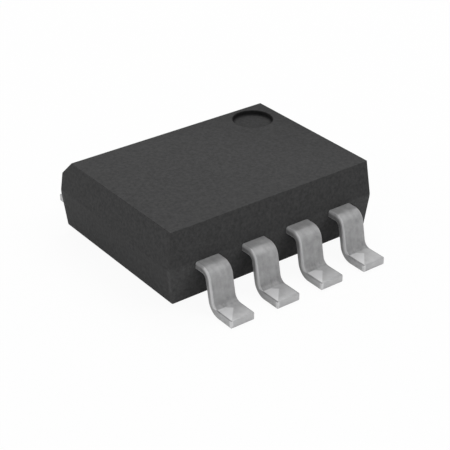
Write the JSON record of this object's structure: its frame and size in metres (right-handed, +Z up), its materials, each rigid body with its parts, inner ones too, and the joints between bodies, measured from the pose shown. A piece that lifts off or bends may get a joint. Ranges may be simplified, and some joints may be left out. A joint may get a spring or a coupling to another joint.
{
  "type": "soic chip",
  "caption": "Surface-mount integrated circuit: black moulded body with a bevelled side and a round mark, on bent gull-wing leads.",
  "frame": {"origin": "middle of the footprint, on the seat under the feet", "axes": "+X along the rows of leads, away from the mark's end; +Y across them, from the bevelled side of leads 1 to 4 to the side of leads 5 to 8; +Z up, out of the top face"},
  "size_m": [0.005, 0.006, 0.0016],
  "materials": {
    "mould_compound": "fine spark-eroded grain",
    "tinned_lead": "satin tin plate",
    "bare_copper": "rolled",
    "silver_adhesive": "cured, dull",
    "silicon": "polished",
    "gold_wire": "drawn"
  },
  "bodies": {
    "root": {"molded_body": "mould_compound", "lead_1": "tinned_lead", "lead_2": "tinned_lead", "lead_3": "tinned_lead", "lead_4": "tinned_lead", "lead_5": "tinned_lead", "lead_6": "tinned_lead", "lead_7": "tinned_lead", "lead_8": "tinned_lead", "die_paddle": "bare_copper", "die_attach": "silver_adhesive", "silicon_die": "silicon", "bond_wire_1": "gold_wire", "bond_wire_2": "gold_wire", "bond_wire_3": "gold_wire", "bond_wire_4": "gold_wire", "bond_wire_5": "gold_wire", "bond_wire_6": "gold_wire", "bond_wire_7": "gold_wire", "bond_wire_8": "gold_wire"}
  },
  "joints": []
}
